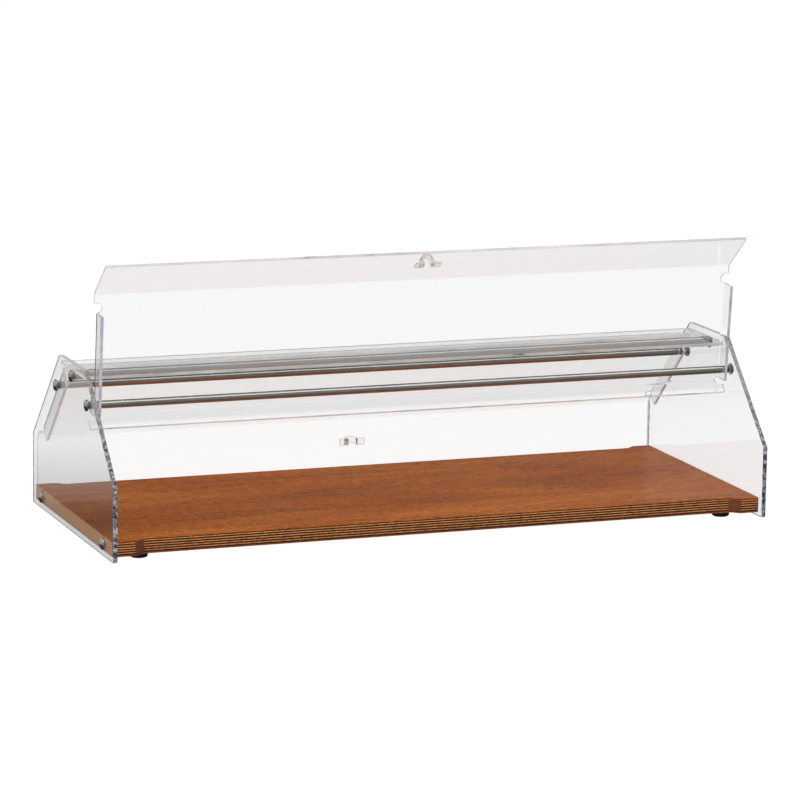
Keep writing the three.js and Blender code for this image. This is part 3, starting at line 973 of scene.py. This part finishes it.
def build_foot(node):
    """A tapered pad with a rounded lower edge and a deep seat for its screw's head."""
    low, high, middle = box_mm(node)
    top_radius, top = (high.x - low.x) / 2, high.z
    inwards, down = FOOT_TOP_EASE
    arc = []
    for step in range(FOOT_EDGE_STEPS + 1):
        angle = math.pi / 2 * step / FOOT_EDGE_STEPS
        out = FOOT_BOTTOM_RADIUS - FOOT_EDGE_RADIUS * (1 - math.sin(angle))
        arc.append((out, FOOT_EDGE_RADIUS * (1 - math.cos(angle))))
    profile = [
        (FOOT_COUNTERBORE_RADIUS, 0),
        *arc,
        (top_radius - inwards, top - down),
        (top_radius, top),
        (FOOT_HOLE_RADIUS, top),
        (FOOT_HOLE_RADIUS, FOOT_COUNTERBORE_DEPTH),
        (FOOT_COUNTERBORE_RADIUS, FOOT_COUNTERBORE_DEPTH),
    ]
    place = Matrix.Translation((middle.x, middle.y, 0))
    set_piece(turned(profile, "Z"), f"{node}_pad", node, [RUBBER], "case", place)


def build_foot_screw(node):
    """A flat-headed screw whose head is at the bottom."""
    low, high, middle = box_mm(node)
    radius = (high.x - low.x) / 2
    seat = low.z + FOOT_SCREW_HEAD_HEIGHT
    profile = [
        (0, low.z),
        (radius - FOOT_SCREW_HEAD_RIM, low.z),
        (radius, low.z + FOOT_SCREW_HEAD_RIM),
        (radius, seat),
        (FOOT_SCREW_SHANK_RADIUS, seat),
        (FOOT_SCREW_SHANK_RADIUS, high.z),
        (0, high.z),
    ]
    place = Matrix.Translation((middle.x, middle.y, 0))
    made = turned(profile, "Z", TURNED_STEPS // 2)
    set_piece(made, f"{node}_head", node, [ZINC], "case", place)


# ------------------------------------------------------------------ stage, light and camera


def build_floor():
    """A plain pale floor that glows softly, so that it stays as white as the backdrop.

    Reflections look through it, to the grey levels of the surroundings.
    """
    shader = material_shader("floor")
    glow = shader.principled(
        Base_Color=colour(0.05, 0.05, 0.05),
        Roughness=1.0,
        Specular_IOR_Level=0.0,
        Emission_Color=colour(1, 1, 1),
        Emission_Strength=1.0,
    )
    path = shader.node("ShaderNodeLightPath").outputs
    reflected = shader.calculate("GREATER_THAN", path["Glossy Depth"], 0.5)
    material = shader.finish(shader.mix_surfaces(reflected, glow, shader.transparent(1.0)))
    material.cycles.emission_sampling = "NONE"
    made = bmesh.new()
    bmesh.ops.create_grid(made, x_segments=1, y_segments=1, size=FLOOR_REACH)
    floor = to_object(made, "floor", [material])


def build_world():
    """A studio: a pale sweep behind the case and a dim room, with a long softbox overhead, in front of it.

    Whatever is seen directly or only through clear sheets is white, and reflections see the grey levels. To
    the right, reflections that leave through a clear sheet see a dimmer studio, so that the board keeps its
    colour.
    """
    shader = Shader(bpy.data.worlds.new("studio"), "ShaderNodeOutputWorld")
    direction = shader.node("ShaderNodeTexCoord").outputs["Generated"]
    across = shader.part(direction, "X")
    height = shader.span(shader.part(direction, "Z"), -1.0, 1.0, 0.0, 1.0)
    behind = shader.span(shader.part(direction, "Y"), *BEHIND_BLEND, 0.0, 1.0)
    room = shader.ramp(height, [(place, grey(level)) for place, level in ROOM_LEVELS])
    sweep = shader.ramp(height, [(place, grey(level)) for place, level in SWEEP_LEVELS])
    through = shader.span(across, *THROUGH_REACH, *THROUGH_LEVELS)
    path = shader.node("ShaderNodeLightPath").outputs
    bounces = shader.calculate("ADD", path["Glossy Depth"], path["Diffuse Depth"])
    rightwards = shader.span(across, *RIGHT_BLEND, 0.0, 1.0)
    behind_glass = shader.calculate("MULTIPLY", path["Is Transmission Ray"], behind)
    dim = shader.calculate("MULTIPLY", behind_glass, rightwards)
    levels = shader.mix(dim, shader.mix(behind, room, sweep), through)
    direct = shader.calculate("LESS_THAN", bounces, 0.5)
    seen = shader.mix(direct, levels, colour(*grey(BACKDROP)))
    world = shader.finish(shader.node("ShaderNodeBackground", Color=seen).outputs["Background"])
    bpy.context.scene.world = world


def build_lamp(name, place, target, width, depth, power):
    """A soft lamp. Reflections don't show it, because the surroundings hold the bright bands they show."""
    data = bpy.data.lights.new(name, "AREA")
    data.shape = "RECTANGLE"
    data.size = width
    data.size_y = depth
    data.energy = power
    lamp = bpy.data.objects.new(name, data)
    bpy.context.scene.collection.objects.link(lamp)
    lamp.location = place
    lamp.rotation_mode = "QUATERNION"
    lamp.rotation_quaternion = (Vector(target) - Vector(place)).to_track_quat("-Z", "Y")
    lamp.visible_glossy = False
    lamp.visible_transmission = False


def build_camera():
    """A long lens, turned by its yaw and pitch and then rolled a little about its own axis."""
    data = bpy.data.cameras.new("camera")
    data.lens = CAMERA_LENS
    data.clip_end = CAMERA_FARTHEST
    camera = bpy.data.objects.new("camera", data)
    bpy.context.scene.collection.objects.link(camera)
    forward = Vector((
        math.sin(CAMERA_YAW) * math.cos(CAMERA_PITCH),
        math.cos(CAMERA_YAW) * math.cos(CAMERA_PITCH),
        -math.sin(CAMERA_PITCH),
    ))
    level = Vector((math.cos(CAMERA_YAW), -math.sin(CAMERA_YAW), 0))
    up = level.cross(forward)
    right = level * math.cos(CAMERA_ROLL) + up * math.sin(CAMERA_ROLL)
    turn = Matrix((right, right.cross(forward), -forward)).transposed()
    camera.matrix_world = Matrix.Translation(CAMERA_PLACE) @ turn.to_4x4()
    bpy.context.scene.camera = camera


# ------------------------------------------------------------------ the scene

bpy.context.scene.view_settings.view_transform = "Standard"

build_camera()
build_world()
build_floor()
for lamp_name, lamp_settings in LAMPS.items():
    build_lamp(lamp_name, **lamp_settings)

build_board()
build_top_sheet()
build_rod("top_rod")
for side_name, side_sign in SIDES.items():
    build_panel(side_name)
    for screw_node in panel_screws(side_name):
        build_dome_screw(screw_node, side_sign)
for end_name in ENDS:
    build_rod(f"{end_name}_hinge_rod")
    build_flap(end_name)
    for side_name, side_sign in SIDES.items():
        build_bush(f"{end_name}_{side_name}_hinge_bush", side_sign)
        build_foot(f"{end_name}_{side_name}_foot")
        build_foot_screw(f"{end_name}_{side_name}_foot_screw")
